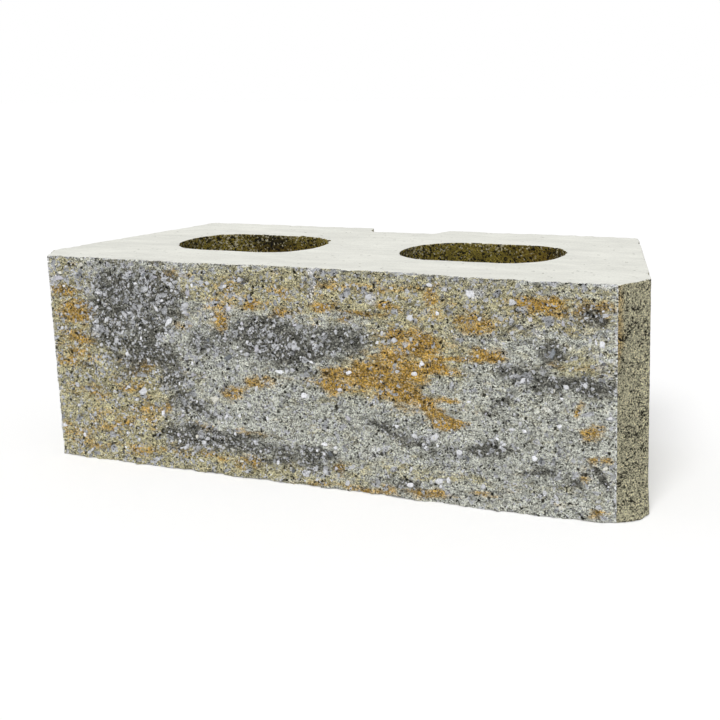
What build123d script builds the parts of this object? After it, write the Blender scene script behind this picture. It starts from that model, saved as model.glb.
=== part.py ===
from build123d import *
import math
import os

# A concrete retaining-wall block, moulded in one piece and split along its front.
# It lies as it is laid in a wall: X runs along the split face, Y goes from that face
# to the back, and Z is up. The origin is on the base, in the middle of the width and
# of the depth, on the web between the two cores. All sizes are in millimetres.

# Body
block_width = 457.2
block_height = 152.4
block_depth = 177.8
side_taper = 48.8
back_corner_radius = 9.0

# Moulded facets, which flare out from the split face to the widest point
facet_flare = 13.8
facet_setback = 24.5
facet_corner_radius = 6.0

# Cores, through the whole height and a little wider at the base, as they leave the mould
core_length = 117.0
core_width = 73.0
core_end_flat = 5.0
core_spacing = 184.0
core_setback = 91.0
core_draft = 1.2

# Shallow notch in the back, with sloped ends
notch_width = 65.0
notch_depth = 15.2
notch_end_slope = 7.5

# Split face: it leans back at the top, turns a little from left to right, and has
# broad swells and smaller broken lumps. Each is (height, length along, length across,
# turn in degrees from the X axis, start along X, start along Z), and a positive depth
# goes into the block.
face_lean = 6.2
face_turn = 3.4
face_end_fade = 14.0
face_swells = [
    (2.2, 330.0, 608.0, 0.0, 72.0, -152.0),
    (0.9, 118.0, 172.0, 0.0, 71.0, 48.0),
    (0.8, 67.0, 96.0, 0.0, 12.0, 31.0),
    (0.6, 41.0, 58.0, 0.0, 25.0, 9.0),
]
face_lumps = [
    (0.9, 64.0, 47.0, 24.0, 5.0, 2.0),
    (0.6, 51.0, 40.0, -38.0, 13.0, 8.0),
]
face_grid_step = 8.0
split_margin = 16.0

# Places that follow from the sizes
face_y = -block_depth / 2
back_y = block_depth / 2
face_half = block_width / 2 - facet_flare
back_half = block_width / 2 - side_taper
core_y = face_y + core_setback
core_corner_radius = (core_width - core_end_flat) / 2
core_draft_angle = math.degrees(math.atan2(core_draft, block_height))
notch_half = notch_width / 2
notch_floor_half = notch_half - notch_end_slope


def split_depth(x, z):
    """How far the split face lies behind its nominal plane at this width and height."""
    depth = face_lean * (z / block_height - 0.5) - face_turn * x / block_width
    for height, along, across, turn, start_x, start_z in face_swells + face_lumps:
        turn_cos = math.cos(math.radians(turn))
        turn_sin = math.sin(math.radians(turn))
        place_along = (x + start_x) * turn_cos + (z + start_z) * turn_sin
        place_across = (z + start_z) * turn_cos - (x + start_x) * turn_sin
        wave_along = math.sin(2 * math.pi * place_along / along)
        wave_across = math.cos(2 * math.pi * place_across / across)
        depth += height * wave_along * wave_across
    end_distance = max(face_half - abs(x), 0.0)
    return depth * (1 - math.exp(-end_distance / face_end_fade))


def steps_between(low, high, step):
    """Evenly spaced values from low to high, about one step apart."""
    count = max(2, round((high - low) / step))
    return [low + (high - low) * i / count for i in range(count + 1)]


# Outline as moulded, with spare stock in front that the split takes away
with BuildPart() as wall_block:
    with BuildSketch():
        with BuildLine():
            Polyline(
                (face_half, face_y - split_margin),
                (face_half, face_y),
                (block_width / 2, face_y + facet_setback),
                (back_half, back_y),
                (notch_half, back_y),
                (notch_floor_half, back_y - notch_depth),
                (-notch_floor_half, back_y - notch_depth),
                (-notch_half, back_y),
                (-back_half, back_y),
                (-block_width / 2, face_y + facet_setback),
                (-face_half, face_y),
                (-face_half, face_y - split_margin),
                close=True,
            )
        make_face()
    extrude(amount=block_height)

    # Upright edges at the widest point and at the back corners, rounded over the whole height
    upright_edges = wall_block.edges().filter_by(Axis.Z)
    widest_edges = upright_edges.sort_by(Axis.X)
    fillet([widest_edges[0], widest_edges[-1]], radius=facet_corner_radius)
    back_edges = wall_block.edges().filter_by(Axis.Z).group_by(Axis.Y)[-1].sort_by(Axis.X)
    fillet([back_edges[0], back_edges[-1]], radius=back_corner_radius)

    # Cores, narrowest at the top
    with BuildSketch(Plane.XY.offset(block_height)):
        with Locations((-core_spacing / 2, core_y), (core_spacing / 2, core_y)):
            RectangleRounded(core_length, core_width, core_corner_radius)
    extrude(amount=-block_height, taper=-core_draft_angle, mode=Mode.SUBTRACT)

    # Split face: everything in front of the broken surface goes
    grid_x = steps_between(-block_width / 2, block_width / 2, face_grid_step)
    grid_z = steps_between(-face_grid_step, block_height + face_grid_step, face_grid_step)
    split_points = [[(x, face_y + split_depth(x, z), z) for x in grid_x] for z in grid_z]
    split_surface = Face.make_surface_from_array_of_points(split_points)
    extrude(split_surface, amount=2 * split_margin, dir=(0, -1, 0), mode=Mode.SUBTRACT)

wall_block.part.label = "wall_block"

os.makedirs("parts", exist_ok=True)
export_step(wall_block.part, "parts/wall_block.step")
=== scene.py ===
import math
from functools import partial

import bmesh
import bpy
import numpy as np
from bpy.props import FloatProperty, FloatVectorProperty, IntProperty, PointerProperty
from mathutils import Matrix, Vector
from mathutils.bvhtree import BVHTree
from mathutils.geometry import delaunay_2d_cdt
from mathutils.kdtree import KDTree


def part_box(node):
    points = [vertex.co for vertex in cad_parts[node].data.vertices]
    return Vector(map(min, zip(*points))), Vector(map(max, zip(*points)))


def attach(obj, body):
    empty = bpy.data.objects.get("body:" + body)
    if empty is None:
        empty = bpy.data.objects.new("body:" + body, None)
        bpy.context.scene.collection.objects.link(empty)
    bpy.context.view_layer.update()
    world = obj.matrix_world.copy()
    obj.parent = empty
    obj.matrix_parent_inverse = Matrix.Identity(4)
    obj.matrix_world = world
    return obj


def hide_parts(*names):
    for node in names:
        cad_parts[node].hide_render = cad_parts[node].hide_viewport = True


bl_info = {
    "name": "Split-face wall block",
    "version": (1, 0, 0),
    "blender": (4, 5, 0),
    "location": "View3D > Sidebar > Wall block",
    "description": "Gives a dry-cast concrete wall block its broken face, stones, pores and colours",
    "category": "Add Mesh",
}

MM = 0.001
NODE = "wall_block"

# Finishes of the block's faces, in the order of its materials
SPLIT, MOULDED, STRUCK, CORE = range(4)

# Colour output of the mix node, and the span that most of a noise node's values lie in
MIX_RESULT = 2
NOISE_SPAN = (0.3, 0.7)

# Reading of the frame's outline, in metres and degrees
EDGE_SLICE = 0.1 * MM
OUTLINE_MERGE = 0.2 * MM
CORNER_CLEAR = 0.6 * MM
CORNER_BEND = 25
LONG_RUN = 4 * MM
FACET_BACK_Y = -62 * MM
FOOT_START_Y = -88.9 * MM

# Mesh rows and places beside an edge, and how deep down a core they stay close together
NEAR_EDGE = np.array([0, 0.5, 1.2, 2.2, 3.4]) * MM
CAP_INSETS = np.array([0.6, 1.3, 2.3]) * MM
INSET_CLEAR = 0.9
GRID_CLEAR = 1.3
GRID_JITTER = 0.3
FACET_SHARE = 1.2
CORE_SEEN_DEPTH = 24 * MM

# Noise in layers: (height and size in millimetres, stretch along X, Y and Z, seed)
EVEN = (1, 1, 1)
FACE_SWAY = ((1.6, 6, EVEN, 11),)
FACE_LIFT = ((1.3, 5, EVEN, 12),)
CLOUD_SWAY = ((3.2, 13, EVEN, 101), (1.6, 5, EVEN, 102))
CLOUD_LIFT = ((1.8, 12, EVEN, 103), (0.9, 5, EVEN, 104))

# Relief of a moulded side and of a core's wall, as layers of grain, layers of pores, and
# the depth and the least strength of a pore
MOULDED_RELIEF = (
    ((0.18, 9, EVEN, 41), (0.2, 2.4, EVEN, 42)),
    ((1, 2.1, EVEN, 44), (0.5, 4, (0.25, 0.25, 1), 43)),
    1.1,
    0.55,
)
CORE_RELIEF = (
    ((0.3, 7, EVEN, 51), (0.32, 2.6, EVEN, 52), (0.25, 3, (1, 1, 0.2), 53)),
    ((1, 3.4, EVEN, 54),),
    0.9,
    0.35,
)
SIDE_CALM = 0.4

# Steps of the broken face: (share of the break height, size in millimetres, squeeze along
# the face, share of the sway and lift, seed)
BROKEN_STEPS = ((0.3, 12, 0.8, 1, 21), (0.45, 5.4, 0.85, 1, 22), (0.4, 2.9, 1, 0.5, 23))
FINE_STEP = ((0.3, 1.8, EVEN, 24),)
EDGE_CALM = 8 * MM
CORNER_RELIEF = 0.35

# Sockets that stones fell out of
SOCKET_COUNT = 130
SOCKET_LOW = (-0.21, 0.004)
SOCKET_TOP = 0.006
SOCKET_RADIUS = (1.1, 2.6)
SOCKET_DEPTH = (0.8, 1.7)

# Exposed stones: the least and the most of X, Z, luck, size luck, width as a share of the
# length, and turn. SMALL_STONES is how strongly the small ones outnumber the large ones.
STONE_LOW = (-0.212, 0.003, 0, 0, 0.45, 0)
STONE_HIGH = (0.212, 0.149, 1, 1, 0.9, 3.1)
SMALLEST_STONE = 1.2 * MM
SMALL_STONES = 3.4
STONE_SEAT = 0.8 * MM
STONE_BED = 1.15
BED_RELIEF = 0.25
STONE_MARGINS = (0.5 * MM, 1.5 * MM)
STONE_JITTER = 0.35
STONE_REACH = (0.62, 1.2)
STONE_BEVEL = (0.55, 0.95)
STONE_PROUD = (0.1, 0.45)
STONE_LEAN = 0.35
STONE_TILT = 0.16
TILTED_LENGTH = 2.5 * MM

# Shades of the stones: (luck below, darkest, lightest, tint)
STONE_SHADES = (
    (0.68, 0.66, 1.04, (1, 1, 1)),
    (0.8, 0.6, 0.9, (1.05, 1.02, 0.88)),
    (0.94, 0.5, 0.8, (0.99, 0.97, 1.02)),
    (1, 0.12, 0.3, (0.94, 1.0, 1.04)),
)

# Soft spots on the walls: (strength, middle, half reach), in metres
WALL_SPOTS = {
    "stain": (
        (1, (0.2165, -0.089, 0.125), (0.006, 0.004, 0.03)),
        (0.9, (0.13, 0.03, 0.142), (0.025, 0.02, 0.01)),
        (0.9, (-0.09, 0.04, 0.139), (0.025, 0.02, 0.006)),
    ),
    # Painted shade: dark spots just under the cores' far rims, standing in for the shade there
    "painted_rim_shade": (
        (1, (-0.096, 0.04, 0.147), (0.017, 0.02, 0.009)),
        (0.8, (0.138, 0.03, 0.147), (0.009, 0.03, 0.006)),
    ),
    "dust": (
        (0.28, (-0.135, 0.02, 0.143), (0.025, 0.04, 0.01)),
        (0.25, (0.036, 0.01, 0.147), (0.012, 0.03, 0.008)),
    ),
}

# Worn edges, the sagged foot, and the top's waves and grain: (height, size, run-in from
# the rims), in millimetres
WEAR_LIMITS = (0.25 * MM, 3.2 * MM)
SIDE_WEAR = 0.7
WEAR_SPREAD = 1.3
WORN_SHARE = 0.8
CRUMBLED_SHARE = 1.2
RIM_CRUMBS = (5.5 * MM, 3, 61)
BASE_CRUMBS = (7 * MM, 3, 64)
CORE_BITES = (5 * MM, 3, 71)
CORE_RIM_WEAR = (0.4 * MM, 0.8 * MM, 2.6 * MM)
CORE_BASE_WEAR = 0.8 * MM
FOOT_BULGE = 5.5 * MM
FOOT_HEIGHT = 15 * MM
CAP_RELIEF = ((0.15, 34, 6), (0.04, 5, 2))

# Colour covers
TAN_FLECKS = 0.1
# How far the broken face's paler line reaches down from its top edge and in from its upright corners
TOP_EDGE_PALE_REACH = 2 * MM
CORNER_PALE_REACH = 1.2 * MM
CORNER_INSET = 15 * MM
DUST_DEPTH = 3 * MM
# Painted highlight: the sides are lightened along their widest corners, where a rounded corner catches
# the light
CORNER_HIGHLIGHT_WIDTH = 2.5 * MM
CORNER_HIGHLIGHT_GAIN = 1.5

# Camera, from the photo's perspective, and the soft light
CAMERA_PLACE = (0.4390, -0.8950, 0.3145)
CAMERA_HEADING = 26.38
CAMERA_DIP = 13.85
CAMERA_ROLL = -2.11
SENSOR_WIDTH = 36
KEY_AIM = (-0.18, 0.7, -0.9)
KEY_SPREAD = 30
FLOOR_GAP = 0.05 * MM

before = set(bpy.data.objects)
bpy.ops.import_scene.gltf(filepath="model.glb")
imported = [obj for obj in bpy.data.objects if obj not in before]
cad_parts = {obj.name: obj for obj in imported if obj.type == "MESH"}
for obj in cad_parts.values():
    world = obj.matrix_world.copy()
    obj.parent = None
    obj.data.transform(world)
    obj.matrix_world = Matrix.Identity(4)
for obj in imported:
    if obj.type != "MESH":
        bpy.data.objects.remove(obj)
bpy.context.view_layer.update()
block_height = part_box(NODE)[1].z


# Colour and noise helpers


def linear(code):
    """An sRGB hex code as linear red, green and blue."""
    parts = [int(code[i : i + 2], 16) / 255 for i in (1, 3, 5)]
    return tuple(c / 12.92 if c <= 0.04045 else ((c + 0.055) / 1.055) ** 2.4 for c in parts)


def soft_noise(points, size, seed):
    """Smooth random values from about -1 to 1, whose bumps are about size across."""
    rng = np.random.default_rng(seed)
    count = 4096
    order = rng.permutation(count)
    level = rng.uniform(-1, 1, count)
    cell = np.floor(points / size).astype(np.int64)
    part = points / size - cell
    part = part * part * (3 - 2 * part)
    total = np.zeros(len(points))
    for corner in np.ndindex(2, 2, 2):
        place = (cell + corner) % count
        pick = order[(order[(order[place[:, 0]] + place[:, 1]) % count] + place[:, 2]) % count]
        total += level[pick] * np.prod(np.where(corner, part, 1 - part), axis=1)
    return total


def layered_noise(points, size, layers, seed):
    """Soft noise in layers, each half the size and half the height of the last."""
    total = np.zeros(len(points))
    for layer in range(layers):
        total += soft_noise(points, size / 2**layer, seed + layer) / 2**layer
    return total


def summed_noise(points, layers):
    """Soft noise summed over layers of (height, size, stretch, seed)."""
    return sum(
        height * soft_noise(points * stretch, size * MM, seed) for height, size, stretch, seed in layers
    )


def on_face(x, z):
    """Points of the face's plane at these places, in one list."""
    return np.stack([x, np.zeros_like(x), z], axis=-1).reshape(-1, 3)


# Sizes and colours that a user would change


def number(name, description, default):
    """A plain number to set."""
    return FloatProperty(name=name, description=description, default=default)


def length(name, description, size):
    """A length to set, given in millimetres."""
    return FloatProperty(name=name, description=description, default=size * MM, unit="LENGTH")


def colour(name, description, code):
    """A colour to set, given as a hex code."""
    return FloatVectorProperty(
        name=name, description=description, size=3, subtype="COLOR", default=linear(code)
    )


class BlockSizes(bpy.types.PropertyGroup):
    face_step: length("Face spacing", "Spacing of the mesh on the broken face and facets", 1.3)
    wall_step: length("Wall spacing", "Spacing of the mesh on the sides and back", 4)
    core_step: length("Core spacing", "Spacing of the mesh round the cores", 1.7)
    cap_step: length("Top spacing", "Spacing of the mesh on the top and base", 5)
    break_height: length("Break height", "Typical height of the broken face's larger steps", 0.85)
    arris_wear: length("Edge wear", "Usual radius of the crumbled edges", 1.2)
    longest_stone: length("Longest stone", "Length of the longest of the scattered stones", 4.6)
    stone_count: IntProperty(
        name="Exposed stones", description="Crushed stones that show in the broken face", default=1050
    )


class BlockColours(bpy.types.PropertyGroup):
    pale: colour("Pale paste", "Unpigmented cement paste and sand", "#c9cbc2")
    tan: colour("Tan paste", "Paste with a little ochre pigment", "#c4bd97")
    charcoal: colour("Charcoal paste", "Paste with black iron-oxide pigment", "#585852")
    ochre: colour("Ochre paste", "Paste with yellow iron-oxide pigment", "#bf9b4c")
    rust: colour("Rust paste", "Paste where the yellow pigment is thickest", "#9c7830")
    sand: colour("Bare sand", "Sand grains that the pigment didn't coat", "#cdccbf")
    stone: colour("Crushed stone", "Pale limestone chips", "#eff0f4")
    grey_stone: colour("Grey stone", "The greyest of the small limestone chips", "#b3b5b8")
    pore: colour("Pore shade", "What the pores between the grains leave of the light", "#4c4a43")
    pit: colour("Pit shade", "What the deepest pits of the broken face leave of the light", "#2b2a28")
    string: colour("String shade", "What the strings of pores in the sides leave", "#3a382f")
    moulded: colour("Moulded side", "Olive-grey skin of the sides, facets and back", "#beb99c")
    struck: colour("Struck top", "Cream laitance on the smooth top", "#e6e6de")
    speck: colour("Top specks", "Grey grains that show in the smooth top", "#8d8c80")
    core: colour("Core wall", "Brown-grey skin of the core walls", "#887a34")
    core_stain: colour("Core stain", "Ochre pigment in the core walls", "#8c6a1c")
    # Painted shade: the dark brown laid under the cores' far rims stands in for the shade there
    painted_rim_shade: colour("Core damp", "Core walls where they are damp", "#231c0c")
    dust: colour("Core dust", "Pale crumbs under the far rims of the cores", "#ece4c4")


class StageSettings(bpy.types.PropertyGroup):
    lens: number("Lens", "Focal length of the camera, in millimetres", 69.42)
    floor: FloatVectorProperty(
        name="Floor", description="White paper", size=3, subtype="COLOR", default=(0.82, 0.82, 0.82)
    )
    floor_lift: number("Floor lift", "Added to the floor where the camera sees it", 0.2)
    floor_reach: length("Floor reach", "Half the width of the floor", 4000)
    key_strength: number("Key light", "Strength of the soft light from above", 2.35)
    fill_strength: number("Fill light", "Strength of the even light from all round", 0.42)


# Pigment clouds on the broken face: (X, Z, half length, half height, tilt in
# degrees, strength), in millimetres from the middle of the face's base

CHARCOAL_CLOUDS = [
    (-150, 130, 28, 16, 0, 0.9), (-116, 128, 18, 15, -15, 0.8), (-168, 105, 15, 24, 0, 0.75),
    (-138, 104, 26, 12, 0, 0.7), (-128, 85, 24, 8, 0, 0.85), (-112, 71, 14, 10, 0, 0.75),
    (-148, 74, 13, 8, 0, 0.6), (-108, 53, 13, 8, 0, 0.5), (-88, 48, 16, 5, -15, 0.65),
    (-102, 25, 20, 10, 0, 0.85), (-68, 26, 22, 8, 0, 0.75), (-25, 20, 32, 9, 0, 0.6),
    (8, 25, 14, 5, 0, 0.8), (6, 14, 10, 5, 0, 0.6), (-80, 95, 14, 9, 0, 0.65),
    (-40, 107, 22, 10, 0, 0.85), (-18, 95, 34, 13, 0, 0.95), (22, 104, 22, 9, 4, 0.85),
    (-190, 71, 9, 3, 0, 0.55), (58, 46, 20, 5, -12, 0.6), (90, 38, 20, 5, -12, 0.6),
    (135, 41, 21, 5, 12, 0.7), (168, 30, 11, 4, 0, 0.65), (195, 132, 15, 7, 0, 0.5),
    (150, 124, 13, 4, 0, 0.4), (130, 128, 9, 3, 0, 0.35), (8, 143, 12, 5, 0, 0.4),
    (-56, 142, 10, 4, 0, 0.35), (92, 142, 10, 4, 0, 0.35), (188, 27, 9, 4, -35, 0.5),
    (150, 94, 14, 5, -8, 0.9), (188, 88, 30, 6, 0, 0.85), (174, 107, 10, 9, 35, 0.75),
    (157, 113, 7, 3, 0, 0.5), (140, 74, 20, 3, 35, 0.6), (70, 10, 15, 4, 0, 0.7),
    (112, 6, 18, 3, 0, 0.4), (206, 29, 12, 3, -55, 0.8), (202, 132, 10, 5, 0, 0.5),
    (88, 114, 10, 3, 0, 0.35),
]
OCHRE_CLOUDS = [
    (-204, 127, 13, 5, 0, 0.55), (-193, 112, 15, 8, 0, 0.7), (-190, 93, 15, 6, 0, 0.5),
    (-200, 77, 15, 7, 0, 0.42), (-183, 53, 20, 7, 0, 0.38), (-200, 100, 20, 40, 0, 0.15),
    (-154, 33, 26, 9, 0, 0.4), (-198, 20, 18, 9, 0, 0.35), (-165, 10, 40, 4, 0, 0.3),
    (-95, 13, 44, 3, 0, 0.45), (-50, 11, 14, 4, 0, 0.4), (-141, 76, 16, 6, 0, 0.6),
    (-150, 61, 12, 5, 0, 0.5), (-133, 45, 12, 6, 0, 0.4), (-118, 47, 5, 6, 0, 0.5),
    (-71, 115, 6, 11, 0, 0.75), (-45, 124, 7, 4, 0, 0.75), (-22, 119, 9, 3, 0, 0.6),
    (-98, 108, 9, 4, 0, 0.5), (-108, 143, 14, 4, 0, 0.45), (-67, 61, 10, 4, 0, 0.7),
    (-40, 69, 22, 3.4, 10, 0.7), (-88, 34, 12, 4, 0, 0.55), (-45, 34, 15, 3, 0, 0.45),
    (14, 76, 12, 8, 0, 0.85), (42, 80, 20, 9, 12, 0.95), (58, 92, 12, 5, 30, 0.85),
    (66, 72, 17, 9, -10, 1.0), (76, 86, 14, 8, 0, 0.8), (96, 90, 12, 4, -5, 0.95),
    (88, 66, 11, 5, -25, 0.9), (104, 70, 8, 2, 10, 0.75), (100, 56, 11, 5, 0, 0.95),
    (84, 105, 14, 7, 15, 0.85), (70, 113, 16, 3, 8, 0.75), (128, 103, 13, 4, 0, 1.0),
    (106, 97, 18, 1.6, 4, 0.8), (122, 122, 13, 5, 0, 0.75), (166, 139, 15, 6, 5, 0.85),
    (10, 127, 9, 3, 0, 0.8), (58, 131, 6, 3, 8, 0.9), (92, 135, 7, 5, 0, 0.6),
    (42, 123, 14, 2, 0, 0.5), (27, 118, 5, 2, 0, 0.6), (203, 137, 12, 7, 0, 0.6),
    (192, 72, 3, 5, 0, 0.85), (201, 57, 5, 6, 0, 0.7), (207, 41, 7, 3, 0, 0.6),
    (194, 27, 4, 4, 0, 0.6), (4, 3, 12, 3, 0, 0.6), (46, 3, 18, 3, 0, 0.7), (86, 6, 18, 3, 0, 0.7),
    (126, 11, 12, 2, 0, 0.45), (204, 5, 7, 3, 0, 0.55), (185, 101, 26, 4, 0, 0.35),
    (60, 142, 40, 6, 0, 0.25), (90, 127, 105, 13, 0, 0.15), (182, 135, 20, 6, 0, 0.42),
    (8, 138, 12, 6, 0, 0.26), (-60, 138, 13, 6, 0, 0.26), (-20, 133, 12, 5, 0, 0.24),
    (-62, 124, 55, 14, 0, 0.18), (60, 100, 34, 14, 10, 0.25), (22, 17, 3, 4, 0, 0.6),
]
TAN_CLOUDS = [
    (-185, 35, 60, 60, 0, 0.95), (-205, 100, 24, 50, 0, 0.7), (-140, 70, 34, 14, 0, 0.6),
    (-20, 138, 110, 14, 0, 0.75), (130, 134, 100, 16, 0, 0.6), (-110, 8, 120, 12, 0, 0.8),
    (82, 104, 34, 20, 0, 0.6), (195, 100, 26, 9, 0, 0.5), (40, 78, 30, 14, 0, 0.4),
    (95, 18, 70, 4, 0, 0.35),
]
CHALK_CLOUDS = [
    (2, 138, 2.5, 14, 0, 0.8), (46, 134, 8, 5, 0, 0.65), (122, 142, 10, 5, 0, 0.75),
    (164, 122, 9, 5, 0, 0.6), (92, 45, 7, 4, 0, 0.7), (-178, 100, 5, 8, 0, 0.5),
    (-6, 63, 6, 4, 0, 0.6), (205, 104, 6, 7, 0, 0.5), (48, 29, 7, 4, 0, 0.5),
    (-207, 136, 6, 4, 0, 0.6), (150, 64, 8, 4, 0, 0.4), (-118, 58, 4, 8, 0, 0.4),
    (176, 74, 14, 5, 0, 0.35), (110, 112, 20, 5, 0, 0.3),
]

# Where the larger pale stones lie in the broken face: (X, Z, length, width, turn in degrees)

LARGE_STONES = [
    (-207, 136, 8, 5, 0), (-112, 109, 11, 4, 42), (-152, 112, 9, 4, -42), (-159, 92, 6, 5, 0),
    (-77, 55, 7, 6, 70), (-65, 86, 8, 4, 12), (-24, 79, 8, 4, 5), (-14, 81, 5, 3.5, -20),
    (-98, 122, 6, 4, 0), (-95, 131, 5, 5, 0), (-63, 121, 5, 4, 60), (-138, 56, 8, 5, 30),
    (-144, 49, 5, 3, 40), (27, 5, 5, 5, 0), (45, 135, 6, 5, 10), (75, 123, 6, 4, 0),
    (95, 127, 4, 3.5, 0), (63, 107, 5, 4, 0), (93, 45, 8, 5, 20), (79, 86, 5, 3, 0),
    (154, 88, 6.5, 4, 42), (174, 107, 7, 3, 80), (118, 142, 7, 6, 0), (147, 138, 5, 4, 0),
    (162, 38, 5, 4, 10), (95, 15, 7, 4, 8), (102, 16, 5, 4, 90), (76, 10, 5, 4, 0),
    (10, 31, 5, 4, 0), (205, 115, 5, 4, 0), (-5, 64, 6, 4, 0), (30, 83, 5, 4, 20),
    (-85, 25, 4, 3, 40), (78, 44, 5, 4, 0), (-100, 116, 5, 3, 20),
]


def cloud_cover(x, z, clouds):
    """How far each point of the face lies in these clouds, from 0 to 1."""
    clear = np.ones(len(x))
    for middle_x, middle_z, half_length, half_height, tilt, strength in clouds:
        turn = math.radians(tilt)
        off_x, off_z = x - middle_x * MM, z - middle_z * MM
        along = (off_x * math.cos(turn) + off_z * math.sin(turn)) / (half_length * MM)
        across = (off_z * math.cos(turn) - off_x * math.sin(turn)) / (half_height * MM)
        clear *= 1 - strength * np.exp2(-((along**2 + across**2) ** 1.4))
    return 1 - clear


# Outlines, read from the frame's own solid


def surface_tree(mesh):
    """A mesh's faces, ready for rays to be cast at them."""
    return BVHTree.FromPolygons([v.co for v in mesh.vertices], [p.vertices for p in mesh.polygons])


def front_hit(tree, x, z):
    """Where a ray from straight in front meets a mesh, or None."""
    return tree.ray_cast(Vector((x, -1, z)), Vector((0, 1, 0)))[0]


def level_outlines(mesh, height):
    """Closed outlines of a mesh where a level plane cuts it, the longest first."""
    bm = bmesh.new()
    bm.from_mesh(mesh)
    bmesh.ops.remove_doubles(bm, verts=bm.verts, dist=1e-6)
    everything = bm.verts[:] + bm.edges[:] + bm.faces[:]
    cut = bmesh.ops.bisect_plane(bm, geom=everything, plane_co=(0, 0, height), plane_no=(0, 0, 1))
    edges = {e for e in cut["geom_cut"] if isinstance(e, bmesh.types.BMEdge)}
    outlines = []
    while edges:
        edge = min(edges, key=lambda e: e.index)
        edges.remove(edge)
        first, vert = edge.verts
        loop = [first.co.xy.copy()]
        while vert is not first:
            loop.append(vert.co.xy.copy())
            edge = next(e for e in vert.link_edges if e in edges)
            edges.remove(edge)
            vert = edge.other_vert(vert)
        loop = np.array(loop)
        step = np.hypot(*(loop - np.roll(loop, 1, axis=0)).T)
        outlines.append(loop[step > OUTLINE_MERGE])
    bm.free()
    outlines = [loop if turns_left(loop) else loop[::-1] for loop in outlines]
    return sorted(outlines, key=lambda loop: (-round(np.ptp(loop[:, 0]), 4), loop[:, 0].min()))


def turns_left(loop):
    """Whether a closed outline runs anticlockwise."""
    after = np.roll(loop, -1, axis=0)
    return np.sum(loop[:, 0] * after[:, 1] - after[:, 0] * loop[:, 1]) > 0


def evenly_spaced(path, step):
    """Points along an open path, about one step apart, with both ends kept."""
    lengths = np.hypot(*np.diff(path, axis=0).T)
    distance = np.concatenate([[0], np.cumsum(lengths)])
    places = np.linspace(0, distance[-1], max(1, round(distance[-1] / step)) + 1)
    return np.stack([np.interp(places, distance, path[:, k]) for k in (0, 1)], axis=1)


def outward_normals(loop):
    """Unit vectors out of what an anticlockwise outline encloses."""
    tangent = np.roll(loop, -1, axis=0) - np.roll(loop, 1, axis=0)
    tangent /= np.linalg.norm(tangent, axis=1, keepdims=True)
    return np.stack([tangent[:, 1], -tangent[:, 0]], axis=1)


def front_corners(outer):
    """Indices of the left and right upright edges between the broken face and the facets."""
    after = np.roll(outer, -1, axis=0) - outer
    before = outer - np.roll(outer, 1, axis=0)
    cross = before[:, 0] * after[:, 1] - before[:, 1] * after[:, 0]
    bend = np.degrees(np.arctan2(np.abs(cross), np.sum(before * after, axis=1)))
    sharp = np.where((bend > CORNER_BEND) & (outer[:, 1] < 0))[0]
    return sharp[np.argmin(outer[sharp, 0])], sharp[np.argmax(outer[sharp, 0])]


def wall_columns(outer, sizes):
    """Plan places of the mesh's upright rows round the block, from its left front corner.

    Returns them with how many belong to the broken face.
    """
    left, right = front_corners(outer)
    half = (outer[right, 0] - outer[left, 0]) / 2
    corner_y = outer[left, 1]
    count = round(2 * half / sizes.face_step)
    along = np.linspace(-half, half, count + 1)
    front = np.stack([along, np.full(count + 1, corner_y)], axis=1)
    path = np.roll(outer, -right, axis=0)[: (left - right) % len(outer) + 1]
    corner_gap = np.minimum(*[np.hypot(*(path - corner).T) for corner in (front[-1], front[0])])
    path = np.concatenate([front[-1:], path[corner_gap > CORNER_CLEAR], front[:1]])
    long_run = np.hypot(*np.diff(path, axis=0).T) > LONG_RUN
    rest = []
    start = 0
    for i, is_long in enumerate(long_run):
        if is_long or i + 1 == len(long_run) or long_run[i + 1]:
            run = path[start : i + 2]
            fine = run[:, 1].mean() < FACET_BACK_Y or not is_long
            step = sizes.face_step * FACET_SHARE if fine else sizes.wall_step
            rest.append(evenly_spaced(run, step)[:-1])
            start = i + 1
    return np.concatenate([front[:-1], *rest]), count


def spaced_levels(step, fine_depth=None, fine_step=None):
    """Heights of the mesh's rows, close together at the top and base, where edges are worn."""
    low, high = NEAR_EDGE[-1], block_height - NEAR_EDGE[-1]
    fine_low = high - fine_depth if fine_depth else high
    coarse = np.linspace(low, fine_low, round((fine_low - low) / step) + 1)
    fine = np.linspace(fine_low, high, round((high - fine_low) / (fine_step or step)) + 1)[1:]
    return np.concatenate([NEAR_EDGE[:-1], coarse, fine, block_height - NEAR_EDGE[-2::-1]])


# Relief of the surfaces


def worn_edge(depth, radius):
    """Where a point lies once the edge beside it is worn round.

    Depth is how far it was from the edge. Returns how far it moves in from its own face,
    and how far it then is from the edge.
    """
    angle = math.radians(45) * (1 - np.clip(depth / radius, 0, 1))
    left = np.where(depth < radius, radius * (1 - np.sin(angle)), depth)
    return radius * (1 - np.cos(angle)), left


def broken_grains(along, up, size, seed):
    """Height of a surface broken along grains of one size, each with its own level and tilt."""
    rng = np.random.default_rng(seed)
    count = 512
    jitter = rng.uniform(0.1, 0.9, (count, count, 2))
    level = rng.normal(0, 1, (count, count))
    slope = rng.normal(0, 1, (count, count, 2))
    column = np.floor(along / size).astype(np.int64)
    row = np.floor(up / size).astype(np.int64)
    nearest = np.full(np.shape(along), np.inf)
    height = np.zeros(np.shape(along))
    for side, rise in np.ndindex(3, 3):
        i, j = (column + side - 1) % count, (row + rise - 1) % count
        off_along = along / size - (column + side - 1 + jitter[i, j, 0])
        off_up = up / size - (row + rise - 1 + jitter[i, j, 1])
        gap = np.hypot(off_along, off_up)
        tilted = level[i, j] + off_along * slope[i, j, 0] + off_up * slope[i, j, 1]
        height = np.where(gap < nearest, tilted, height)
        nearest = np.minimum(nearest, gap)
    return height


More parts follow.
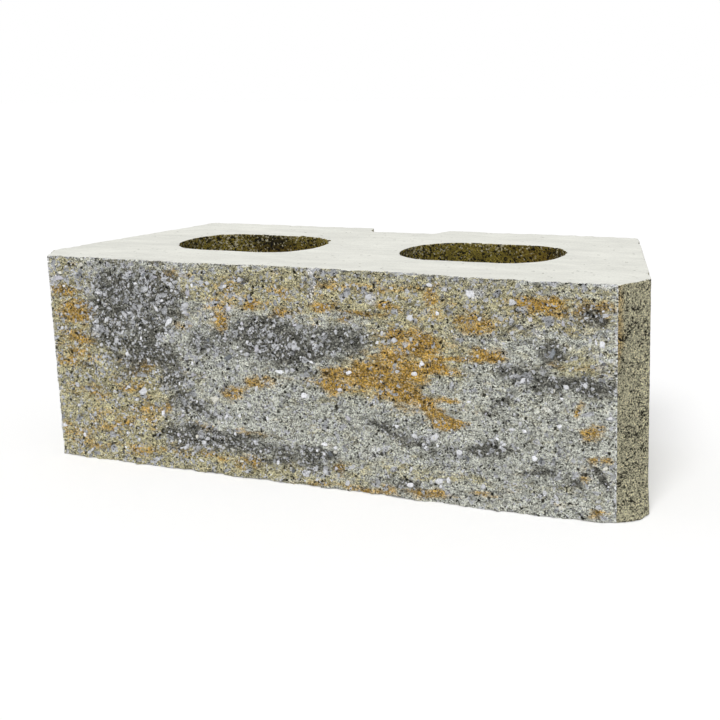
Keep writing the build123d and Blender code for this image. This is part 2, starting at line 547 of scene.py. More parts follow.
def broken_relief(x, z, sizes, stones):
    """How far the broken face stands out of its broad form, in metres."""
    points = on_face(x, z)
    sway = summed_noise(points, FACE_SWAY).reshape(x.shape) * MM
    lift = summed_noise(points, FACE_LIFT).reshape(x.shape) * MM
    height = np.zeros(x.shape)
    for share, size, squeeze, swing, seed in BROKEN_STEPS:
        place = x * squeeze + sway * swing, z + lift * swing
        height += share * broken_grains(*place, size * MM, seed)
    height += summed_noise(points, FINE_STEP).reshape(x.shape)
    height *= sizes.break_height
    rng = np.random.default_rng(31)
    for _ in range(SOCKET_COUNT):
        middle = rng.uniform(SOCKET_LOW, (-SOCKET_LOW[0], block_height - SOCKET_TOP))
        radius, depth = rng.uniform(*SOCKET_RADIUS) * MM, rng.uniform(*SOCKET_DEPTH) * MM
        gap = np.hypot(x - middle[0], z - middle[1]) / radius
        height -= depth * np.clip(1 - gap**2, 0, 1)
    for stone in stones:
        inside = ellipse_gap(x, z, stone) < STONE_BED
        height[inside] = height[inside] * BED_RELIEF - STONE_SEAT
    return height * np.clip((np.abs(x).max() - np.abs(x)) / EDGE_CALM, CORNER_RELIEF, 1)


def ellipse_gap(x, z, stone):
    """Distance from a stone's middle, as a share of its half length and half width."""
    middle_x, middle_z, length, width, turn = stone[:5]
    off_x, off_z = x - middle_x, z - middle_z
    along = (off_x * math.cos(turn) + off_z * math.sin(turn)) / (length / 2)
    across = (off_z * math.cos(turn) - off_x * math.sin(turn)) / (width / 2)
    return np.hypot(along, across)


def wall_relief(points, grain, pores, depth, least):
    """How far a wall stands out of its plane, with layers of grain and pores sunk in it."""
    sunk = depth * np.clip(summed_noise(points, pores) - least, 0, 1)
    return (summed_noise(points, grain) - sunk) * MM


def swollen_foot(plan, z):
    """Concrete that sagged out of the right facet's foot before it set."""
    share = np.clip((plan[:, 1] - FOOT_START_Y) / (FACET_BACK_Y - FOOT_START_Y), 0, 1)
    bulge = np.sin(math.pi * share) * (plan[:, 0] > 0) * (plan[:, 1] < FACET_BACK_Y)
    return FOOT_BULGE * bulge * np.exp(-((z / FOOT_HEIGHT) ** 2))


# The block's mesh


class Casting:
    """Collects the points and faces of one closed mesh, with the finish of each face."""

    def __init__(self):
        self.points = np.zeros((0, 3))
        self.faces = []
        self.finish = []

    def add_points(self, points):
        start = len(self.points)
        self.points = np.concatenate([self.points, points.reshape(-1, 3)])
        return start + np.arange(len(points.reshape(-1, 3)))

    def add_wall(self, rows, finish):
        """Quads between rows of points that close on themselves, from the lowest row up."""
        ids = self.add_points(rows).reshape(rows.shape[:2])
        after = np.roll(ids, -1, axis=1)
        quads = np.stack([ids[:-1], after[:-1], after[1:], ids[1:]], axis=-1)
        self.faces += quads.reshape(-1, 4).tolist()
        self.finish += np.broadcast_to(finish, quads.shape[:2]).ravel().tolist()
        return ids[0], ids[-1]

    def add_cap(self, rims, wear, rim_finish, height, step, seed):
        """The top, or the base where height is 0, between the outer rim and the core rims.

        Where an edge is worn, the finish of the wall beside it carries on over the edge.
        """
        side = 1 if height else -1
        plan = [self.points[rim, :2] for rim in rims]
        rim_points, rim_wear, rim_finish = map(np.concatenate, (plan, wear, rim_finish))
        kept, depth, owner = cap_places(plan, step, seed)
        drop, _ = worn_edge(depth, rim_wear[owner])
        spots = np.concatenate([kept, np.zeros((len(kept), 1))], axis=1)
        for k, (high, size, run_in) in enumerate(CAP_RELIEF):
            waves = 1 + soft_noise(spots, size * MM, seed + 1 + k)
            drop += high * MM * waves * np.clip(depth / (run_in * MM), 0, 1)
        spots[:, 2] = height - side * drop
        ids = np.concatenate([*rims, self.add_points(spots)])
        edges, start = [], 0
        for loop in plan:
            edges += [(start + k, start + (k + 1) % len(loop)) for k in range(len(loop))]
            start += len(loop)
        flat = [Vector(place) for place in np.concatenate([rim_points, kept])]
        _, _, triangles, origin, _, _ = delaunay_2d_cdt(flat, edges, [], 2, 1e-9)
        rim_of = np.repeat([*range(len(plan)), -1], [*map(len, plan), len(kept)])
        plain = STRUCK if side > 0 else MOULDED
        worn = np.where(depth < rim_wear[owner] * WORN_SHARE, rim_finish[owner], plain)
        finish = np.concatenate([rim_finish, worn])
        for triangle in triangles:
            corners = [origin[k][0] for k in triangle]
            rim = rim_of[corners[0]]
            if rim > 0 and (rim_of[corners] == rim).all():
                middle = np.mean([flat[k] for k in corners], axis=0)
                if inside_outline(middle, plan[rim]):
                    continue
            face = [int(ids[k]) for k in corners]
            self.faces.append(face if side > 0 else face[::-1])
            same = (finish[corners] == finish[corners[0]]).all()
            self.finish.append(int(finish[corners[0]]) if same else plain)


def cap_places(plan, step, seed):
    """Places for the mesh of a cap, between its outer rim and its core rims.

    Returns them with their distance from the nearest point of a rim, and its index.
    """
    rim_points = np.concatenate(plan)
    tree = KDTree(len(rim_points))
    for i, place in enumerate(rim_points):
        tree.insert((*place, 0), i)
    tree.balance()
    fill = []
    for loop in plan:
        inward = outward_normals(loop) * (-1 if loop is plan[0] else 1)
        for inset in CAP_INSETS:
            fill += [(place, inset * INSET_CLEAR) for place in loop + inward * inset]
    rng = np.random.default_rng(seed)
    low, high = rim_points.min(0), rim_points.max(0)
    for column in np.arange(low[0], high[0], step):
        for row in np.arange(low[1], high[1], step):
            shift = rng.uniform(-GRID_JITTER, GRID_JITTER, 2) * step
            fill.append((np.array((column, row)) + shift, CAP_INSETS[-1] * GRID_CLEAR))
    kept = []
    for place, least in fill:
        if inside_outline(place, plan[0]) and not any(inside_outline(place, core) for core in plan[1:]):
            _, index, gap = tree.find((*place, 0))
            if gap >= least:
                kept.append((place, gap, index))
    return map(np.array, zip(*kept))


def inside_outline(place, loop):
    """Whether a plan place lies inside a closed outline."""
    x, y = place
    after = np.roll(loop, -1, axis=0)
    straddles = (loop[:, 1] > y) != (after[:, 1] > y)
    span = np.where(straddles, after[:, 1] - loop[:, 1], 1)
    crossing = loop[:, 0] + (y - loop[:, 1]) * (after[:, 0] - loop[:, 0]) / span
    return np.count_nonzero(straddles & (x < crossing)) % 2 == 1


def worn_rows(plan, normal, levels, bulge, wear_low, wear_high):
    """Rows of points up a wall with its relief and with both of its edges worn round.

    plan, normal and bulge hold one value for each level and column.
    """
    z = np.broadcast_to(levels[:, None], bulge.shape)
    inward_low, from_base = worn_edge(z, wear_low)
    inward_high, from_top = worn_edge(block_height - z, wear_high)
    place = np.where(z < block_height / 2, from_base, block_height - from_top)
    offset = bulge - inward_low - inward_high
    return np.concatenate([plan + normal * offset[..., None], place[..., None]], axis=-1)


def front_plan(solid, columns, front_count, levels):
    """Plan of each row of the wall: upright, but for the front, which follows the solid."""
    tree = surface_tree(solid)
    plan = np.broadcast_to(columns, (len(levels), *columns.shape)).copy()
    for row, z in enumerate(levels):
        height = min(max(z, EDGE_SLICE), block_height - EDGE_SLICE)
        for k in range(1, front_count):
            plan[row, k, 1] = front_hit(tree, columns[k, 0], height).y
    return plan


def build_block(sizes):
    """The dressed block as one closed mesh round the frame's solid."""
    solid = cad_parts[NODE].data
    outer, *base_cores = level_outlines(solid, EDGE_SLICE)
    top_cores = level_outlines(solid, block_height - EDGE_SLICE)[1:]
    columns, front_count = wall_columns(outer, sizes)
    levels = spaced_levels(sizes.face_step)
    column_ids = np.arange(len(columns))
    is_front = column_ids <= front_count
    plan = front_plan(solid, columns, front_count, levels)
    z = np.broadcast_to(levels[:, None], plan.shape[:2])
    points = np.concatenate([plan, z[..., None]], axis=-1).reshape(-1, 3)
    bulge = wall_relief(points, *MOULDED_RELIEF).reshape(z.shape)
    bulge *= np.where(columns[:, 1] < FACET_BACK_Y, 1, SIDE_CALM)
    front = plan[:, is_front, 0], z[:, is_front]
    bulge[:, is_front] = broken_relief(*front, sizes, stone_places(sizes))
    bulge += np.stack([swollen_foot(columns, level) for level in levels])

    # Wear of the edges, most along the broken face
    ring = np.concatenate([columns, np.zeros((len(columns), 1))], axis=1)
    usual = np.where(is_front, sizes.arris_wear, sizes.arris_wear * SIDE_WEAR)
    wear_high, wear_low = [
        np.clip(usual + sizes.arris_wear * WEAR_SPREAD * crumbs, *WEAR_LIMITS)
        for crumbs in (layered_noise(ring, *RIM_CRUMBS), layered_noise(ring + 1, *BASE_CRUMBS))
    ]
    normal = np.broadcast_to(outward_normals(columns), plan.shape)
    rows = worn_rows(plan, normal, levels, bulge, wear_low, wear_high)
    casting = Casting()
    low_rim, high_rim = casting.add_wall(rows, np.where(column_ids < front_count, SPLIT, MOULDED))
    crumbled = np.where(wear_high > CRUMBLED_SHARE * sizes.arris_wear, MOULDED, STRUCK)
    lows, highs = [(low_rim, wear_low)], [(high_rim, wear_high)]
    high_finish = [np.where(is_front, SPLIT, crumbled)]

    # Cores, narrowest at the top, with the most bites out of their far rims
    levels = spaced_levels(sizes.wall_step, CORE_SEEN_DEPTH, sizes.core_step)
    for core_index, (base_core, top_core) in enumerate(zip(base_cores, top_cores)):
        draft = (np.ptp(base_core[:, 0]) - np.ptp(top_core[:, 0])) / 2
        rim = evenly_spaced(np.concatenate([top_core, top_core[:1]]), sizes.core_step)[:-1]
        out = outward_normals(rim)
        plan = rim + out * (draft * (1 - levels / block_height))[:, None, None]
        z = np.broadcast_to(levels[:, None], plan.shape[:2])
        points = np.concatenate([plan, z[..., None]], axis=-1).reshape(-1, 3)
        bulge = wall_relief(points, *CORE_RELIEF).reshape(z.shape)
        ring = np.concatenate([rim, np.zeros((len(rim), 1))], axis=1)
        far = np.clip(out[:, 1] * 1.5, 0, 1)
        size, layers, seed = CORE_BITES
        bites = np.clip(layered_noise(ring, size, layers, seed + core_index) - 0.1, 0, 1)
        least, bitten, far_bitten = CORE_RIM_WEAR
        wear_high = least + bites * (bitten + far_bitten * far)
        wear_low = np.full(len(rim), CORE_BASE_WEAR)
        rows = worn_rows(plan, -np.broadcast_to(out, plan.shape), levels, bulge, wear_low, wear_high)
        low_rim, high_rim = casting.add_wall(rows[:, ::-1], CORE)
        lows.append((low_rim[::-1], wear_low))
        highs.append((high_rim[::-1], wear_high))
        high_finish.append(np.where(far > 0, CORE, STRUCK))

    low_finish = [np.full(len(rim), MOULDED) for rim, _ in lows]
    casting.add_cap(*zip(*highs), high_finish, block_height, sizes.cap_step, 81)
    casting.add_cap(*zip(*lows), low_finish, 0, 2 * sizes.cap_step, 84)
    casting.points[:, 2] = np.clip(casting.points[:, 2], 0, block_height)
    return casting


def stone_places(sizes):
    """The exposed stones: X, Z, length, width and turn, in metres and radians.

    They crowd together in the charcoal, on the left and near the top, and are few in the
    ochre and low in the middle.
    """
    stones = [(*np.array(sizes_mm) * MM, math.radians(turn)) for *sizes_mm, turn in LARGE_STONES]
    rng = np.random.default_rng(91)
    while len(stones) < sizes.stone_count + len(LARGE_STONES):
        x, z, luck, size_luck, width_share, turn = rng.uniform(STONE_LOW, STONE_HIGH)
        spot = np.array([x]), np.array([z])
        crowd = 0.3 + 0.45 * cloud_cover(*spot, CHARCOAL_CLOUDS)[0] + 0.3 * (x < -0.06)
        crowd += 0.25 * (z > 0.125)
        few = 0.2 * (abs(x - 0.03) < 0.06 and z < 0.05)
        crowd -= few + 0.25 * cloud_cover(*spot, OCHRE_CLOUDS)[0]
        if luck < crowd:
            spare = sizes.longest_stone - SMALLEST_STONE
            length = SMALLEST_STONE + spare * size_luck**SMALL_STONES
            stones.append((x, z, length, length * width_share, turn))
    return stones


# Materials


def add_node(tree, kind, inputs, output=0, **settings):
    """Adds a shader node with its settings, fills or links its inputs, and returns an output.

    The inputs are a list in the node's own order, or are given by their names.
    """
    node = tree.nodes.new("ShaderNode" + kind)
    for name, value in settings.items():
        setattr(node, name, value)
    for name, value in enumerate(inputs) if isinstance(inputs, list) else inputs.items():
        socket = node.inputs[name]
        if isinstance(value, bpy.types.NodeSocket):
            tree.links.new(value, socket)
        else:
            socket.default_value = (*value, 1) if socket.type == "RGBA" else value
    return node.outputs[output] if node.outputs else None


def new_material(name):
    """An empty node material, what adds nodes to it, and the places on the surface."""
    material = bpy.data.materials.new(name)
    material.use_nodes = True
    material.node_tree.nodes.clear()
    add = partial(add_node, material.node_tree)
    return material, add, add("TexCoord", [], "Object")


def finish_with(add, colour, height, depth, roughness):
    """Connects a colour and a small relief to a dull mineral surface."""
    mineral = {
        "Base Color": colour,
        "Roughness": roughness,
        "IOR": 1.5,
        "Specular IOR Level": 0.25,
        "Normal": add("Bump", {"Strength": 1.0, "Distance": depth, "Height": height}),
    }
    add("OutputMaterial", {"Surface": add("BsdfPrincipled", mineral)})


def speckle(place, size, detail, roughness):
    """What a noise node takes for bumps that are at most about size across."""
    return {"Vector": place, "Scale": 1 / size, "Detail": detail, "Roughness": roughness}


def layers(share, under, over):
    """What a colour mix node takes to lay one colour over another."""
    return {0: share, 6: under, 7: over}


def clumped(add, place, size, reach):
    """The same place, pushed about by noise, so that cells drawn there get ragged outlines."""
    push = add("TexNoise", speckle(place, size, 3, 0.7), "Color")
    push = add("VectorMath", [push, (0.5, 0.5, 0.5)], operation="SUBTRACT")
    return add("VectorMath", [push, (reach, reach, reach), place], operation="MULTIPLY_ADD")


def grains(add, place, size, chance, crowd=0.0):
    """A mask of angular grains of one size, more of them where crowd is high, and their tones."""
    cells = add("TexVoronoi", {"Vector": place, "Scale": 1 / size}, "Color")
    pick = add("SeparateColor", [cells])
    luck = add("Math", [pick, crowd], operation="ADD")
    return add("MapRange", [luck, 0.99 - chance, 1.01 - chance]), pick.node.outputs[1]


def sand_shade(add, place, size, span, cloud, swing):
    """How light each sand grain is, with finer speckle inside it and broad clouds over all.

    The finest sand is smaller than the picture's pixels, so it is drawn coarser.
    """
    cells = add("TexVoronoi", {"Vector": place, "Scale": 1 / size}, "Color")
    tone = add("MapRange", [add("SeparateColor", [cells]), 0, 1, *span])
    fine = add("TexNoise", speckle(place, size, 3, 0.9))
    for noise, low_high in ((fine, span), (cloud, swing)):
        level = add("MapRange", [noise, *NOISE_SPAN, *low_high])
        tone = add("Math", [tone, level], operation="MULTIPLY")
    return tone


def stained(add, paste, name, colour, edge, span, most, **settings):
    """The paste with a colour laid over it where an attribute says so, with a ragged edge."""
    cover = add("Attribute", [], "Fac", attribute_name=name)
    share = add("Math", [cover, edge], operation="ADD")
    share = add("MapRange", [share, *span, 0, most], **settings)
    return add("Mix", layers(share, paste, colour), MIX_RESULT, data_type="RGBA")


def shadowed(add, paste, place, cracks, pores, shade, crowd=0.0):
    """The paste with shadows in its cracks and pores, and the height of the surface.

    Cracks are pairs of a mask and a shadow. Pores are (size in millimetres, chance, shadow).
    """
    pits = [(grains(add, place, size * MM, chance, crowd)[0], shadow) for size, chance, shadow in pores]
    for mask, shadow in (*cracks, *pits):
        mixed = layers(mask, paste, shadow)
        paste = add("Mix", mixed, MIX_RESULT, data_type="RGBA", blend_type="MULTIPLY")
    return paste, add("Math", [mask, -1.5, shade], operation="MULTIPLY_ADD")


def fractured_concrete(colours):
    """Concrete broken through by a guillotine: dull open paste and sand, with sharp grains.

    The eye sees a sandy speckle, clouds of pigment with ragged edges, and dark open pores.
    """
    material, add, place = new_material("fractured_dry_cast_concrete")
    grain_place = clumped(add, place, 1.4 * MM, 0.9 * MM)
    level = add("Mapping", {"Vector": place, "Scale": (0.4, 1, 1)})
    ragged = add("TexNoise", speckle(level, 6 * MM, 6, 0.72), "Color")
    ragged = add("SeparateColor", [ragged])
    paste = colours.pale
    pigments = (
        ("tan", colours.tan, (0, 0.6), 1.0),
        ("ochre", colours.ochre, (0.16, 0.8), 1.0),
        ("ochre", colours.rust, (0.75, 1.3), 0.6),
        ("charcoal", colours.charcoal, (0.12, 0.72), 0.95),
        ("chalk", colours.stone, (0.3, 0.9), 0.75),
    )
    for k, (name, colour, span, most) in enumerate(pigments):
        edge = add("MapRange", [ragged.node.outputs[k % 3], 0.25, 0.75, -0.6, 0.6])
        soft = {"interpolation_type": "SMOOTHSTEP"}
        paste = stained(add, paste, name, colour, edge, span, most, **soft)
    streaks = add("TexNoise", speckle(level, 8 * MM, 5, 0.75))
    shade = sand_shade(add, grain_place, 0.8 * MM, (0.28, 1.86), streaks, (0.7, 1.35))
    bare, _ = grains(add, grain_place, 0.9 * MM, 0.3)
    bare = add("Math", [bare, 0.4], operation="MULTIPLY")
    paste = add("Mix", layers(bare, paste, colours.sand), MIX_RESULT, data_type="RGBA")
    paste = add("VectorMath", {0: paste, "Scale": shade}, operation="SCALE")
    stony = add("Attribute", [], "Fac", attribute_name="stony")
    glint = add("MapRange", [shade, 0.2, 2.0, 0.75, 1.15])
    for size, chance in ((1.4, 0.06), (2.3, 0.055), (3.8, 0.02)):
        bright, tone = grains(add, grain_place, size * MM, chance, stony)
        chip = layers(tone, colours.stone, colours.grey_stone)
        chip = add("Mix", chip, MIX_RESULT, data_type="RGBA")
        chip = add("VectorMath", {0: chip, "Scale": glint}, operation="SCALE")
        paste = add("Mix", layers(bright, paste, chip), MIX_RESULT, data_type="RGBA")
    crack = add("Math", [ragged.node.outputs[1], 0.5, 0.008], operation="COMPARE")
    pores = ((2.2, 0.007, colours.pit), (0.9, 0.09, colours.pore), (1.8, 0.02, colours.pore))
    pit_place = clumped(add, place, 2.2 * MM, 2 * MM)
    paste, height = shadowed(add, paste, pit_place, [(crack, colours.pore)], pores, shade)
    finish_with(add, paste, height, 0.3 * MM, 0.95)
    return material


def moulded_concrete(colours):
    """Concrete pressed against a steel mould: flat and dull, with open grain.

    The eye sees a fine olive-grey grain with wavy level strings of dark pores.
    """
    material, add, place = new_material("moulded_dry_cast_concrete")
    grain_place = clumped(add, place, 1.5 * MM, 1.2 * MM)
    cloud = add("TexNoise", speckle(place, 18 * MM, 6, 0.7))
    shade = sand_shade(add, grain_place, 0.75 * MM, (0.35, 1.72), cloud, (0.8, 1.2))
    # Painted highlight: the shade is raised along the widest corners of the sides
    painted_corner_highlight = add("Attribute", [], "Fac", attribute_name="painted_corner_highlight")
    painted_corner_highlight = add("MapRange", [painted_corner_highlight, 0, 1, 1, CORNER_HIGHLIGHT_GAIN])
    shade = add("Math", [shade, painted_corner_highlight], operation="MULTIPLY")
    edge = add("MapRange", [cloud, *NOISE_SPAN, -0.4, 0.4])
    paste = stained(add, colours.moulded, "stain", colours.ochre, edge, (0.3, 1.1), 0.75)
    paste = add("VectorMath", {0: paste, "Scale": shade}, operation="SCALE")
    level = add("Mapping", {"Vector": place, "Scale": (0.3, 0.3, 1)})
    strings = add("TexNoise", speckle(level, 7 * MM, 5, 0.7))
    torn = add("Attribute", [], "Fac", attribute_name="torn")
    crowd = add("MapRange", [strings, 0.42, 0.66, -0.08, 0.16])
    crowd = add("Math", [crowd, torn], operation="MULTIPLY")
    wavy = add("TexNoise", speckle(level, 4.5 * MM, 2, 0.6))
    crack = add("Math", [wavy, 0.5, 0.016], operation="COMPARE")
    patchy = add("MapRange", [cloud, 0.5, 0.56, 0, torn])
    crack = add("Math", [crack, patchy], operation="MULTIPLY")
    pores = ((0.8, 0.16, colours.pore), (1.3, 0.03, colours.pore))
    cracks = [(crack, colours.string)]
    paste, height = shadowed(add, paste, grain_place, cracks, pores, shade, crowd)
    finish_with(add, paste, height, 0.4 * MM, 0.93)
    return material


def struck_concrete(colours):
    """The top, struck smooth by the mould's shoe: fine cement cream with very few pores.

    The eye sees an even cream surface with faint streaks and a few grey specks.
    """
    material, add, place = new_material("struck_dry_cast_concrete")
    long_way = add("Mapping", {"Vector": place, "Scale": (0.35, 1, 1)})
    streak = add("TexNoise", speckle(long_way, 16 * MM, 7, 0.7))
    grain = add("TexNoise", speckle(place, 1.6 * MM, 3, 0.8))
    cream = colours.struck
    for noise, span in ((streak, (0.87, 1.09)), (grain, (0.9, 1.06))):
        level = add("MapRange", [noise, *NOISE_SPAN, *span])
        cream = add("VectorMath", {0: cream, "Scale": level}, operation="SCALE")
    speck, _ = grains(add, clumped(add, place, 1.5 * MM, 1.5 * MM), 1.6 * MM, 0.003)
    cream = add("Mix", layers(speck, cream, colours.speck), MIX_RESULT, data_type="RGBA")
    finish_with(add, cream, grain, 0.06 * MM, 0.9)
    return material


def core_drawn_concrete(colours):
    """Concrete that a steel core was drawn out of: torn and darker, with painted shade under the rims.

    The eye sees a coarse brown-olive grain, pale dust under the rim and ochre stains.
    """
    material, add, place = new_material("core_drawn_dry_cast_concrete")
    grain_place = clumped(add, place, 2 * MM, 1.2 * MM)
    cloud = add("TexNoise", speckle(place, 12 * MM, 5, 0.75))
    shade = sand_shade(add, grain_place, 0.9 * MM, (0.15, 1.95), cloud, (0.55, 1.5))
    paste = add("VectorMath", {0: colours.core, "Scale": shade}, operation="SCALE")
    mottle = add("TexNoise", speckle(place, 3 * MM, 4, 0.8))
    edge = add("MapRange", [mottle, *NOISE_SPAN, -0.5, 0.4])
    # The stain is real ochre; the second cover is painted shade, dark brown under the cores' far rims
    for name, colour, most in (("stain", colours.core_stain, 0.6), ("painted_rim_shade", colours.painted_rim_shade, 0.9)):
        paste = stained(add, paste, name, colour, edge, (0.15, 0.95), most)
    dust = add("Attribute", [], "Fac", attribute_name="dust")
    crumb, tone = grains(add, grain_place, 1.2 * MM, 0.02, dust)
    crumb = add("Math", [crumb, add("MapRange", [tone, 0, 1, 0.3, 1])], operation="MULTIPLY")
    paste = add("Mix", layers(crumb, paste, colours.dust), MIX_RESULT, data_type="RGBA")
    pit_place = clumped(add, place, 1.8 * MM, 2 * MM)
    pores = ((1.3, 0.22, colours.pore),)
    paste, height = shadowed(add, paste, pit_place, [], pores, shade)
    finish_with(add, paste, height, 0.5 * MM, 0.95)
    return material


def crushed_stone():
    """Crushed limestone sheared by the split: hard, fine-grained and nearly flush.

    The eye sees pale chips, white, cream or faintly lavender, and a few blue-grey ones.
    """
    material, add, place = new_material("crushed_limestone")
    tint = add("Attribute", [], "Color", attribute_name="stone_tint")
    grain = add("TexNoise", speckle(place, 1.1 * MM, 4, 0.85))
    shade = add("MapRange", [grain, *NOISE_SPAN, 0.5, 1.3])
    tint = add("VectorMath", {0: tint, "Scale": shade}, operation="SCALE")
    finish_with(add, tint, grain, 0.1 * MM, 0.75)
    return material


# Covers of colour, read by the materials


def face_covers(x, z):
    """Pigments, chalk and small stones of the broken face, all with ragged outlines."""
    spots = on_face(x, z)
    place = x + summed_noise(spots, CLOUD_SWAY) * MM, z + summed_noise(spots, CLOUD_LIFT) * MM
    charcoal, ochre, tan = [
        cloud_cover(*place, clouds) for clouds in (CHARCOAL_CLOUDS, OCHRE_CLOUDS, TAN_CLOUDS)
    ]
    left = 1 / (1 + np.exp((x + 0.07) / 0.015))
    top = 1 / (1 + np.exp((0.125 - z) / 0.006))
    stony = 0.055 * charcoal + 0.03 * (left + top) - 0.04 * ochre
    # The face is also made paler along its top edge and beside its upright corners
    rims = 0.5 * np.exp2((z - block_height) / TOP_EDGE_PALE_REACH)
    rims += 0.9 * np.exp2((np.abs(x) - x.max() + CORNER_INSET) / CORNER_PALE_REACH)
    return {
        "charcoal": charcoal,
        "ochre": ochre + TAN_FLECKS * tan,
        "tan": tan,
        "stony": stony + 0.04 * soft_noise(spots, 9 * MM, 106),
        "chalk": cloud_cover(x, z, CHALK_CLOUDS) + rims,
    }


def wall_covers(x, y, z):
    """Stains on a facet and in the cores, painted shade under the cores' far rims, dust on the cores'
    far walls, wear of the sides, and a painted highlight along their widest corners.
    """
    far_wall = 0.6 * np.clip(y / 0.02, 0, 1) * np.exp2((z - block_height) / DUST_DEPTH)
    ragged = 0.6 + 0.4 * soft_noise(np.stack([x, y, z], axis=1), 5 * MM, 105)
    spots = {name: spot_cover(x, y, z, table) for name, table in WALL_SPOTS.items()}
    return {
        "stain": spots["stain"],
        "painted_rim_shade": spots["painted_rim_shade"],
        "dust": np.maximum(far_wall * ragged, spots["dust"]),
        "torn": np.where(y < FACET_BACK_Y, 1, SIDE_CALM),
        # Painted highlight along the widest corners
        "painted_corner_highlight": np.exp2((np.abs(x) - x.max()) / CORNER_HIGHLIGHT_WIDTH),
    }


def spot_cover(x, y, z, spots):
    """How strongly each point is covered by these soft spots."""
    total = np.zeros(len(x))
    for strength, middle, reach in spots:
        parts = [((value - centre) / half) ** 2 for value, centre, half in zip((x, y, z), middle, reach)]
        total += strength * np.exp2(-sum(parts))
    return total


# Operators


def new_object(name, points, faces, materials):
    """An object with this mesh and these materials, linked to the scene."""
    mesh = bpy.data.meshes.new(name)
    mesh.from_pydata(points, [], faces)
    for material in materials:
        mesh.materials.append(material)
    thing = bpy.data.objects.new(name, mesh)
    bpy.context.scene.collection.objects.link(thing)
    return thing


class WALLBLOCK_OT_body(bpy.types.Operator):
    """Builds the block: its broken face, moulded sides, struck top and cores"""

    bl_idname = "wallblock.body"
    bl_label = "Block"

    def execute(self, context):
        scene = context.scene
        casting = build_block(scene.wallblock_sizes)
        makers = fractured_concrete, moulded_concrete, struck_concrete, core_drawn_concrete
        finishes = [make(scene.wallblock_colours) for make in makers]
        block = new_object("split_face_block", casting.points.tolist(), casting.faces, finishes)
        mesh = block.data
        mesh.polygons.foreach_set("material_index", casting.finish)
        mesh.polygons.foreach_set("use_smooth", [finish != SPLIT for finish in casting.finish])
        x, y, z = casting.points.T
        for name, cover in (face_covers(x, z) | wall_covers(x, y, z)).items():
            mesh.attributes.new(name, "FLOAT", "POINT").data.foreach_set("value", cover)
        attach(block, "root")
        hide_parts(NODE)
        return {"FINISHED"}


def stone_rings(tree, rng, x, z, length, width, turn):
    """Rings of a stone's corners, from its buried edge to its flat front.

    Returns None where the stone would reach past the face.
    """
    corners = int(rng.integers(5, 9))
    spread = rng.uniform(-STONE_JITTER, STONE_JITTER, corners) + np.arange(corners)
    spread = np.sort(spread) * 2 * math.pi / corners
    reach = rng.uniform(*STONE_REACH, corners)
    along = np.cos(spread) * reach * length / 2
    across = np.sin(spread) * reach * width / 2
    rim_x = x + along * math.cos(turn) - across * math.sin(turn)
    rim_z = z + along * math.sin(turn) + across * math.cos(turn)
    if rim_z.min() < STONE_MARGINS[0] or rim_z.max() > block_height - STONE_MARGINS[1]:
        return None
    hits = [front_hit(tree, *corner) for corner in zip(rim_x, rim_z)]
    if None in hits:
        return None
    plane = np.stack([np.ones(corners), rim_x - x, rim_z - z], axis=1)
    lean = np.linalg.lstsq(plane, np.array([hit.y for hit in hits]), rcond=None)[0]
    tilt = rng.normal(0, STONE_TILT, 2) * min(1, TILTED_LENGTH / length)
    lean[1:] = np.clip(lean[1:], -STONE_LEAN, STONE_LEAN) + tilt
    proud = rng.uniform(*STONE_PROUD) * MM
    rings = []
    for share, sink in ((1.12, 1.6), (1.0, 0.1), (rng.uniform(*STONE_BEVEL, corners), -0.25)):
        ring_x, ring_z = x + (rim_x - x) * share, z + (rim_z - z) * share
        ring_y = lean[0] - proud + lean[1] * (ring_x - x) + lean[2] * (ring_z - z) + sink * MM
        rings.append(np.stack([ring_x, ring_y, ring_z], axis=1))
    return rings


class WALLBLOCK_OT_stones(bpy.types.Operator):
    """Sets the exposed crushed stones in the broken face"""

    bl_idname = "wallblock.stones"
    bl_label = "Exposed stones"

    def execute(self, context):
        scene = context.scene
        tree = surface_tree(bpy.data.objects["split_face_block"].data)
        rng = np.random.default_rng(111)
        points, faces, tints = [], [], []
        for place in stone_places(scene.wallblock_sizes):
            rings = stone_rings(tree, rng, *place)
            if rings is None:
                continue
            ids = len(points) + np.arange(3 * len(rings[0])).reshape(3, -1)
            points += np.concatenate(rings).tolist()
            for outer, inner in zip(ids, ids[1:]):
                quads = np.stack([outer, np.roll(outer, -1), np.roll(inner, -1), inner], axis=1)
                faces += quads.tolist()
            faces += [ids[2].tolist(), ids[0][::-1].tolist()]
            kind = rng.uniform()
            darkest, lightest, tint = next(rest for below, *rest in STONE_SHADES if kind < below)
            shade = np.array(scene.wallblock_colours.stone) * rng.uniform(darkest, lightest)
            tints += [(*(shade * tint), 1)] * ids.size
        chips = new_object("crushed_stone_chips", points, faces, [crushed_stone()])
        tint_layer = chips.data.attributes.new("stone_tint", "FLOAT_COLOR", "POINT")
        tint_layer.data.foreach_set("color", np.ravel(tints))
        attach(chips, "root")
        return {"FINISHED"}


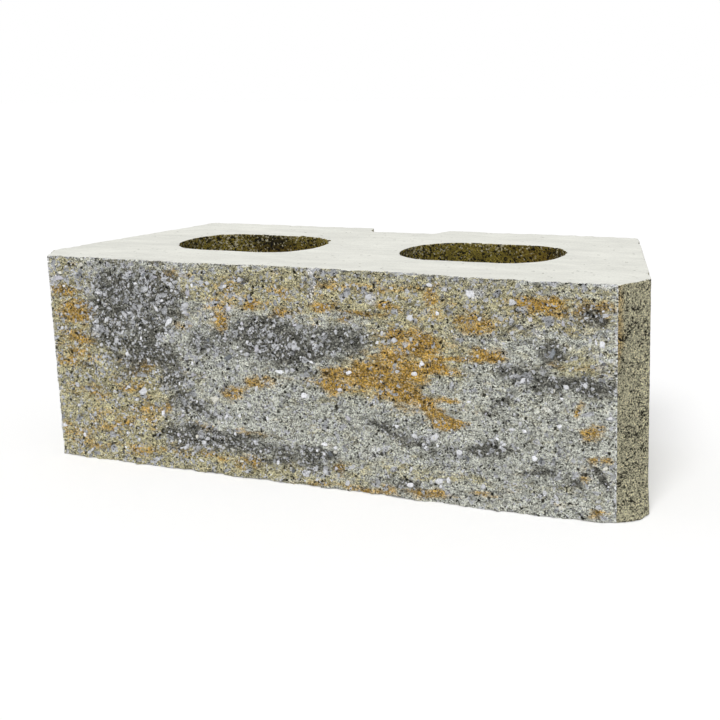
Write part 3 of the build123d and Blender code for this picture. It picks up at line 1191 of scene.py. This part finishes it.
class WALLBLOCK_OT_stage(bpy.types.Operator):
    """Adds the camera, the plain floor and the soft light"""

    bl_idname = "wallblock.stage"
    bl_label = "Stage"

    def execute(self, context):
        scene = context.scene
        settings = scene.wallblock_stage
        camera = bpy.data.objects.new("camera", bpy.data.cameras.new("camera"))
        camera.data.lens = settings.lens
        camera.data.sensor_width = SENSOR_WIDTH
        pose = Matrix.Translation(CAMERA_PLACE)
        for degrees, axis in ((CAMERA_HEADING, "Z"), (90 - CAMERA_DIP, "X"), (CAMERA_ROLL, "Z")):
            pose @= Matrix.Rotation(math.radians(degrees), 4, axis)
        camera.matrix_world = pose
        scene.collection.objects.link(camera)
        scene.camera = camera

        # The floor is white paper; the part of it that the camera sees is lifted to plain white
        material, add, _ = new_material("white_paper_floor")
        seen = add("LightPath", [], "Is Camera Ray")
        lift = add("Math", [seen, settings.floor_lift], operation="MULTIPLY")
        glow = add("Emission", {"Color": (1, 1, 1), "Strength": lift})
        paper = add("BsdfDiffuse", {"Color": settings.floor})
        add("OutputMaterial", {"Surface": add("AddShader", [paper, glow])})
        reach = settings.floor_reach
        corners = [(reach * x, reach * y, 0) for x, y in ((-1, -1), (1, -1), (1, 1), (-1, 1))]
        floor = new_object("floor", corners, [range(4)], [material])
        floor.location.z = -FLOOR_GAP

        key = bpy.data.lights.new("overhead_softbox", "SUN")
        key.energy = settings.key_strength
        key.angle = math.radians(KEY_SPREAD)
        lamp = bpy.data.objects.new("overhead_softbox", key)
        lamp.rotation_euler = Vector(KEY_AIM).to_track_quat("-Z", "Y").to_euler()
        scene.collection.objects.link(lamp)

        world = bpy.data.worlds.new("studio")
        world.use_nodes = True
        world.node_tree.nodes.clear()
        add = partial(add_node, world.node_tree)
        seen = add("LightPath", [], "Is Camera Ray")
        rays = seen.node.outputs
        for ray in ("Is Glossy Ray", "Is Transmission Ray"):
            seen = add("Math", [seen, rays[ray]], operation="MAXIMUM")
        fill = add("Background", {"Color": (1, 1, 1), "Strength": settings.fill_strength})
        white = add("Background", {"Color": (1, 1, 1), "Strength": 1.0})
        add("OutputWorld", {"Surface": add("MixShader", [seen, fill, white])})
        scene.world = world
        scene.view_settings.view_transform = "Standard"
        return {"FINISHED"}


class WALLBLOCK_PT_panel(bpy.types.Panel):
    """Lists the block's pieces, sizes and colours"""

    bl_label = "Wall block"
    bl_space_type = "VIEW_3D"
    bl_region_type = "UI"
    bl_category = "Wall block"

    def draw(self, context):
        for operator in OPERATORS:
            self.layout.operator(operator.bl_idname)
        for group in SETTINGS:
            settings = getattr(context.scene, group)
            self.layout.separator()
            for name in settings.__annotations__:
                self.layout.prop(settings, name)


OPERATORS = (WALLBLOCK_OT_body, WALLBLOCK_OT_stones, WALLBLOCK_OT_stage)
SETTINGS = {
    "wallblock_sizes": BlockSizes,
    "wallblock_colours": BlockColours,
    "wallblock_stage": StageSettings,
}
CLASSES = (*SETTINGS.values(), *OPERATORS, WALLBLOCK_PT_panel)


def register():
    for cls in CLASSES:
        bpy.utils.register_class(cls)
    for name, group in SETTINGS.items():
        setattr(bpy.types.Scene, name, PointerProperty(type=group))


def unregister():
    for name in SETTINGS:
        delattr(bpy.types.Scene, name)
    for cls in reversed(CLASSES):
        bpy.utils.unregister_class(cls)


def main():
    register()
    bpy.ops.wallblock.body()
    bpy.ops.wallblock.stones()
    bpy.ops.wallblock.stage()


if __name__ == "__main__":
    main()
